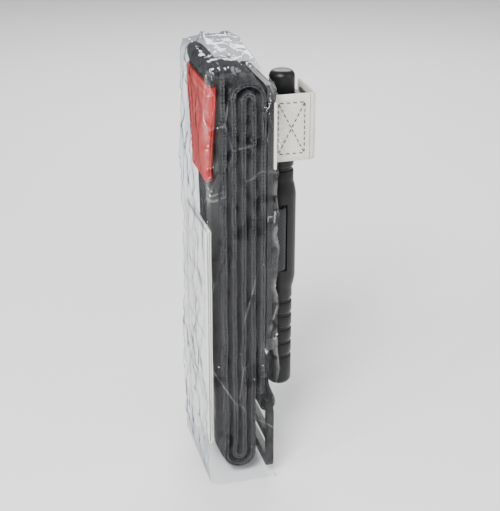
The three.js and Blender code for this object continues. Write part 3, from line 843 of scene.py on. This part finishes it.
def make_rod_strap():
    half_thick = 0.55
    corner = 2.0
    low, high = box_mm("strap_in_slot")
    top = high.x - 0.6
    side = high.y - half_thick
    path = rounded([(low.x, -side), (top, -side), (top, side), (low.x, side)], corner)
    section = upright_section(low, high, half_thick, columns=10)
    sweep("rod_strap_loop", spaced(path, step=1.5), "xy", section, STRAP, "windlass", ["strap_in_slot"])
    low, high = box_mm("strap_bridge")
    x = (low.x + high.x) / 2
    section = tape_section(high.y - low.y, -TAPE_HALF_THICK, TAPE_HALF_THICK, columns=10)
    sweep("strap_on_plate", spaced([(x, low.z), (x, high.z)], step=3.0), "xz", section, STRAP, "band_pack",
          ["strap_bridge"], wobble=0.08, seed=7.0)


def make_keepers():
    """Tapes across the plate, with their ends turned down to the band, and a tack at each end."""
    past_side = 0.15
    into_band = 0.2
    corner = 0.9
    half_thick = 0.28
    tack_inset_y, tack_inset_z = 2.2, 0.6
    tacks = bmesh.new()
    for node in ("plate_keeper_lower", "plate_keeper_upper"):
        low, high = box_mm(node)
        x = (low.x + high.x) / 2
        side = high.y + past_side
        foot = OUTER_HIGH.x - into_band
        path = rounded([(foot, -side), (x, -side), (x, side), (foot, side)], corner)
        section = upright_section(low, high, half_thick, columns=6)
        sweep(node.replace("plate_keeper", "keeper_tape"), spaced(path, step=2.0), "xy", section, STRAP,
              "band_pack", [node], wobble=0.06, seed=3.0)
        for end in (-1, 1):
            y = end * (high.y - tack_inset_y)
            bottom, top = (high.x, y, low.z + tack_inset_z), (high.x, y, high.z - tack_inset_z)
            bar_tack(tacks, bottom, top, (1, 0, 0), depth=2.4, turns=9, radius=0.16)
    finish_mesh("keeper_tacks", tacks, THREAD, "band_pack")


def make_writing_strap():
    """White tape in two pieces: a leg fixed beside the clip, and the flap that closes over the rod."""
    half_thick = 0.48
    leg_corner, flap_corner = 1.4, 1.6
    section = upright_section(ANCHOR_LOW, ANCHOR_HIGH, half_thick, columns=12)
    leg_x = ANCHOR_LOW.x + half_thick
    leg_y = ANCHOR_HIGH.y - half_thick
    path = rounded([(leg_x, ANCHOR_LOW.y), (leg_x, leg_y), (ANCHOR_HIGH.x, leg_y)], leg_corner)
    sweep("white_tape_leg", spaced(path, step=1.5), "xy", section, WHITE, "band_pack", ["strap_anchor"],
          wobble=0.1, seed=5.0)
    flap_x = (FLAP_LOW.x + FLAP_HIGH.x) / 2
    flap_y = FLAP_LOW.y + 0.18 - half_thick
    start = (ANCHOR_HIGH.x + 0.25, flap_y)
    bend_x, bend_y = flap_x + 0.1 - flap_corner, flap_y + flap_corner
    bend = arc_points(bend_x, bend_y, flap_corner, -math.pi / 2, 0.0)
    # The flap bulges a little over the rod and dips at its free end.
    path = [start, *bend, (flap_x + 0.25, 0.0), (flap_x - 0.15, FLAP_HIGH.y)]
    sweep("white_tape_flap", spaced(path, step=1.0), "xy", section, WHITE, "strap_flap", ["writing_strap"],
          wobble=0.2, seed=6.0)


def make_hook_tapes():
    for name, node, body in (("clip_hook_tape", "clip_hook_patch", "band_pack"),
                             ("flap_loop_tape", "flap_loop_patch", "strap_flap")):
        low, high = box_mm(node)
        x = (low.x + high.x) / 2
        section = upright_section(low, high, (high.x - low.x) / 2, columns=8)
        path = spaced([(x, low.y), (x, high.y)], step=1.5)
        sweep(name, path, "xy", section, HOOK, body, [node])


def make_white_tape_stitches():
    """Boxed cross of black thread on the fixed leg, and two rows at the flap's free end."""
    box_inset_z, row_inset_z = 3.0, 1.5
    outer_face = 1.06
    bm = bmesh.new()
    y = ANCHOR_HIGH.y - outer_face
    low_x, high_x = ANCHOR_LOW.x + 3.6, ANCHOR_HIGH.x - 2.0
    low_z, high_z = ANCHOR_LOW.z + box_inset_z, ANCHOR_HIGH.z - box_inset_z
    corners = [(low_x, y, low_z), (high_x, y, low_z), (high_x, y, high_z), (low_x, y, high_z)]
    for start, end in ((0, 1), (1, 2), (2, 3), (3, 0), (0, 2), (1, 3)):
        stitch_row(bm, corners[start], corners[end], (0, -1, 0), pitch=2.0, length=1.5)
    finish_mesh("white_tape_stitches", bm, THREAD, "band_pack")
    bm = bmesh.new()
    x = FLAP_HIGH.x
    for inset_y in (2.0, 3.4):
        y = FLAP_HIGH.y - inset_y
        bottom, top = (x, y, FLAP_LOW.z + row_inset_z), (x, y, FLAP_HIGH.z - row_inset_z)
        stitch_row(bm, bottom, top, (1, 0, 0), pitch=2.0, length=1.5, radius=0.15)
    finish_mesh("flap_stitches", bm, THREAD, "strap_flap")


def make_buckle_loop():
    """The band's end, round the buckle's bar and sewn to the band's front."""
    radius = 2.8
    half_bar = 1.6
    # The loop leaves the bar here and slopes back to the band's front.
    leave_z, slope_z, flat_z = 32, 35.5, 39
    bar_x = (BUCKLE_LOW.x + BUCKLE_HIGH.x) / 2
    bar_z = BUCKLE_HIGH.z - half_bar
    front_x = OUTER_HIGH.x + 0.7
    bend = arc_points(bar_x, bar_z, radius, math.pi, math.tau, steps=24)
    riser = [(bar_x + radius, bar_z + 0.5), (bar_x + radius, leave_z), (front_x + 1.2, slope_z),
             (front_x, flat_z), (front_x, LOOP_HIGH.z)]
    path = [(bar_x - radius, BAND_START_Z - 0.5), *bend, *rounded(riser, 2.0)]
    section = tape_section(LOOP_HIGH.y - LOOP_LOW.y, -TAPE_HALF_THICK, TAPE_HALF_THICK, columns=14)
    sweep("buckle_band_loop", spaced(path, step=2.0), "xz", section, PILE, "band_pack", ["buckle_loop"],
          wobble=0.1, seed=8.0)
    low, high = box_mm("loop_bar_tack")
    x = front_x + TAPE_HALF_THICK - 0.02
    middle = (low.z + high.z) / 2
    bm = bmesh.new()
    bar_tack(bm, (x, low.y, middle), (x, high.y, middle), (1, 0, 0), depth=2.4, turns=44, radius=0.17)
    finish_mesh("loop_tack_thread", bm, THREAD, "band_pack", ["loop_bar_tack"])


# --- leaflet and film ---------------------------------------------------------------------------

def make_leaflet():
    """Three panels of paper, folded one behind another."""
    pitch = 0.75
    bend = pitch / 2
    inset = 0.15
    half_thick = 0.1
    first = LEAFLET_LOW.x + inset
    low_z, high_z = LEAFLET_LOW.z + bend + inset, LEAFLET_HIGH.z - bend - inset
    path = [(first, high_z), *arc_points(first + bend, low_z, bend, math.pi, math.tau),
            *arc_points(first + pitch + bend, high_z, bend, math.pi, 0.0), (first + 2 * pitch, low_z)]
    width = LEAFLET_HIGH.y - LEAFLET_LOW.y
    section = tape_section(width, -half_thick, half_thick, columns=12)
    leaflet = sweep("leaflet_paper", spaced(path, step=4.0), "xz", section, PAPER, "wrapper", ["leaflet"],
                    wobble=0.12, seed=11.0)


FILM_THICK = 0.12
FILM_FOOT_Z = 0.15
FILM_FOOT_HALF = 24.2
FILM_BODY_HALF = 20.9
FILM_SHOULDER_Z = 162.0
FILM_SHOULDER_RISE = 4.6
FILM_SHOULDER_INSET = 4.0
FILM_FRONT_X = 11.6
FILM_CORNER_RADIUS = 3.4
# Columns of film in each side wall, in each back corner and across the back.
SIDE_COLUMNS, CORNER_COLUMNS, BACK_COLUMNS = 22, 7, 34
# Rows of film in the base, the walls, the shoulder and the crown.
BASE_ROWS, WALL_ROWS, SHOULDER_ROWS, CROWN_ROWS = 8, 60, 9, 12
# Heights where the wrapper narrows above the buckle.
WAIST_FROM_Z, WAIST_TO_Z = 34.0, 62.0


def film_rows():
    """(height, half width, back x) for each row of film from the base's middle to the top seam."""
    back = WRAP_LOW.x + 0.2
    # The back leans in by this share of the shoulder's inset, and the seam lies further in.
    lean = 0.8
    seam_lean = 5.5
    first_half, seam_half = 0.4, 0.35
    shoulder_top_z = FILM_SHOULDER_Z + FILM_SHOULDER_RISE
    crown_half = FILM_BODY_HALF - FILM_SHOULDER_INSET
    seam_z = cad_high[2] / MM - 0.6
    rows = []
    for k in range(BASE_ROWS + 1):
        t = k / BASE_ROWS
        rows.append((FILM_FOOT_Z, mix(first_half, FILM_FOOT_HALF, t), mix(0.0, back, t)))
    for k in range(1, WALL_ROWS + 1):
        z = mix(FILM_FOOT_Z, FILM_SHOULDER_Z, k / WALL_ROWS)
        rows.append((z, mix(FILM_FOOT_HALF, FILM_BODY_HALF, smoothstep(WAIST_FROM_Z, WAIST_TO_Z, z)), back))
    for k in range(1, SHOULDER_ROWS + 1):
        angle = math.pi / 2 * k / SHOULDER_ROWS
        inset = FILM_SHOULDER_INSET * (1 - math.cos(angle))
        z = FILM_SHOULDER_Z + FILM_SHOULDER_RISE * math.sin(angle)
        rows.append((z, FILM_BODY_HALF - inset, back + inset * lean))
    for k in range(1, CROWN_ROWS + 1):
        t = k / CROWN_ROWS
        z = mix(shoulder_top_z, seam_z, math.sin(t * math.pi / 2))
        x = back + mix(FILM_SHOULDER_INSET * lean, seam_lean, t)
        rows.append((z, mix(crown_half, seam_half, t), x))
    return rows


def film_front(z, side):
    """Where the torn front edge lies at a height, on the right (side 1) or left (side -1) wall."""
    slow_tear = noise.noise(Vector((z * 0.09, side * 7.0, 2.0))) * 1.6
    ragged = noise.noise(Vector((z * 0.5, side * 3.0, 5.0))) * 0.5
    recede = 8.5 * smoothstep(150.0, 169.0, z) ** 1.6
    return min(FILM_FRONT_X + slow_tear + ragged - recede, FILM_FRONT_X + 1.8)


def film_outline(z, half, back):
    """One row of film from the right front edge round the back to the left one."""
    radius = min(FILM_CORNER_RADIUS, half * 0.9)
    walls = []
    for side in (1, -1):
        front = film_front(z, side)
        wall = [(mix(front, back + radius, k / SIDE_COLUMNS), side * half) for k in range(SIDE_COLUMNS + 1)]
        for k in range(1, CORNER_COLUMNS + 1):
            turn = math.pi / 2 * k / CORNER_COLUMNS
            x = back + radius - radius * math.sin(turn)
            wall.append((x, side * (half - radius + radius * math.cos(turn))))
        walls.append(wall)
    span = half - radius
    across = [(back, mix(span, -span, k / BACK_COLUMNS)) for k in range(1, BACK_COLUMNS)]
    return walls[0] + across + walls[1][::-1]


def painted_glint_strength(from_end):
    """Strength of the painted highlight at a column: along its torn front edges and its folded back
    corners.
    """
    torn = {0: 1.0, 1: 0.35}.get(from_end, 0.0)
    corner_middle = SIDE_COLUMNS + CORNER_COLUMNS / 2
    return max(torn, 1.0 - abs(from_end - corner_middle) / 1.6, 0.0)


def film_crease(place):
    """Height of folds and creases in the film at a place, in millimetres."""
    x, y, z = place
    folds = noise.noise(place * 0.045 + Vector((3, 1, 0))) * 1.1
    slant = noise.noise(Vector((x * 0.12 + z * 0.06, y * 0.1, z * 0.04)))
    ridge = max(0.0, 1.0 - abs(slant) * 7.0) * 0.9
    cross = noise.noise(Vector((x * 0.09 - z * 0.08, y * 0.08 + 4.0, z * 0.05)))
    pleat = max(0.0, 1.0 - abs(cross) * 9.0) * 0.7
    fine = noise.noise(place * 0.16) * 0.35
    return (folds + ridge + pleat + fine) * smoothstep(0.5, 8.0, z)


def torn_curl(place):
    """How far the torn front edge curls outwards across the band, in millimetres."""
    near_edge = smoothstep(5.5, 12.0, place.x) * smoothstep(34.0, 60.0, place.z)
    return near_edge * (2.2 + 2.0 * noise.noise(Vector((place.z * 0.06, place.y * 0.2, 8.0))))


def clear_of_pack(co):
    """Keeps a film point outside the folded band and the buckle, and off the floor."""
    front_limit_x = 13.5
    base_top_z = 1.5
    near_side_y = BAND_HALF_WIDTH - 6
    near_top_z = 163
    co.z = max(co.z, FILM_THICK)
    co.x = min(co.x, front_limit_x)
    beside = co.x > OUTER_LOW.x + 1.5 and base_top_z < co.z < OUTER_HIGH.z + 0.6
    if beside and abs(co.y) > near_side_y:
        wall = BAND_HALF_WIDTH + 1.0 if co.z > WAIST_FROM_Z else BUCKLE_HIGH.y + 0.4
        co.y = math.copysign(max(abs(co.y), wall), co.y)
    above = co.x > OUTER_LOW.x - 1.0 and abs(co.y) < BAND_HALF_WIDTH + 0.8
    if above and co.z > near_top_z:
        co.z = max(co.z, OUTER_HIGH.z + 0.7)


def make_film():
    """One creased sheet over the base, the back, both sides and the top, open down its front."""
    above_base_z = 1.0
    bm = bmesh.new()
    # The fold layer holds the strength of the painted highlight on torn edges and folded corners.
    fold = bm.verts.layers.float.new("fold")
    grid = []
    for z, half, back in film_rows():
        row = [bm.verts.new((x, y, z)) for x, y in film_outline(z, half, back)]
        for i, vert in enumerate(row):
            vert[fold] = painted_glint_strength(min(i, len(row) - 1 - i)) if z > above_base_z else 0.0
        grid.append(row)
    for a, b in zip(grid, grid[1:]):
        for k in range(len(a) - 1):
            bm.faces.new((a[k], a[k + 1], b[k + 1], b[k]))
    bm.normal_update()
    for vert in bm.verts:
        place = vert.co.copy()
        vert.co += vert.normal * film_crease(place)
        vert.co.y += math.copysign(torn_curl(place), place.y)
        clear_of_pack(vert.co)
    film = finish_mesh("clear_film_wrap", bm, FILM, "wrapper",
                       ["wrapper_base_panel", "wrapper_back_panel", "wrapper_right_panel",
                        "wrapper_left_panel", "wrapper_top_panel"])
    thick = film.modifiers.new("film_thickness", "SOLIDIFY")
    thick.thickness = FILM_THICK * MM
    thick.offset = 0.0


# --- floor, light, camera: metres from here on --------------------------------------------------

def add_light(name, size, energy, location, colour=(1, 1, 1)):
    """An area light aimed at the middle of the object."""
    aim = Vector((0.0, 0.0, 0.09))
    data = bpy.data.lights.new(name, "AREA")
    data.shape = "RECTANGLE"
    data.size, data.size_y = size
    data.energy = energy
    data.color = colour
    light = bpy.data.objects.new(name, data)
    light.location = location
    light.rotation_euler = (aim - Vector(location)).to_track_quat("-Z", "Y").to_euler()
    bpy.context.scene.collection.objects.link(light)


def make_floor():
    bm = bmesh.new()
    bmesh.ops.create_grid(bm, x_segments=2, y_segments=2, size=3.0)
    mesh = bpy.data.meshes.new("floor")
    bm.to_mesh(mesh)
    bm.free()
    shader = Shader("pale_floor")
    cloud = shader.noise(shader.place(), scale=0.004, detail=3.0)
    colour = shader.ramp(cloud, [(0.3, (0.88, 0.88, 0.88)), (0.7, (0.91, 0.91, 0.91))])
    mesh.materials.append(shader.set(Base_Color=colour, Roughness=0.9))
    floor = bpy.data.objects.new("floor", mesh)
    bpy.context.scene.collection.objects.link(floor)


def make_lights():
    world = bpy.data.worlds.new("studio")
    world.use_nodes = True
    background = world.node_tree.nodes["Background"]
    background.inputs["Color"].default_value = (0.93, 0.94, 0.96, 1.0)
    background.inputs["Strength"].default_value = 0.42
    bpy.context.scene.world = world
    warm, cool = (1.0, 0.99, 0.97), (0.97, 0.98, 1.0)
    add_light("key", size=(0.35, 0.35), energy=14.0, location=(-0.35, -0.55, 0.75), colour=warm)
    add_light("fill", size=(0.7, 0.5), energy=2.8, location=(0.7, -0.45, 0.4), colour=cool)
    add_light("back", size=(0.5, 0.25), energy=5.0, location=(0.2, 0.6, 0.55))
    add_light("strip", size=(0.05, 0.5), energy=2.2, location=(-0.5, -0.25, 0.2))


def make_camera():
    azimuth, elevation = math.radians(-15), math.radians(24)
    distance = 0.46
    direction = Vector((math.sin(azimuth) * math.cos(elevation), -math.cos(azimuth) * math.cos(elevation),
                        math.sin(elevation)))
    data = bpy.data.cameras.new("camera")
    data.lens = 85
    camera = bpy.data.objects.new("camera", data)
    camera.location = (Vector(cad_low) + Vector(cad_high)) / 2 + direction * distance
    camera.rotation_euler = (-direction).to_track_quat("-Z", "Y").to_euler()
    bpy.context.scene.collection.objects.link(camera)
    bpy.context.scene.camera = camera


make_floor()
make_lights()
make_camera()
make_band()
make_band_stitches()
make_tip()
make_moulded_parts()
make_rod()
make_rod_strap()
make_keepers()
make_writing_strap()
make_hook_tapes()
make_white_tape_stitches()
make_buckle_loop()
make_leaflet()
make_film()
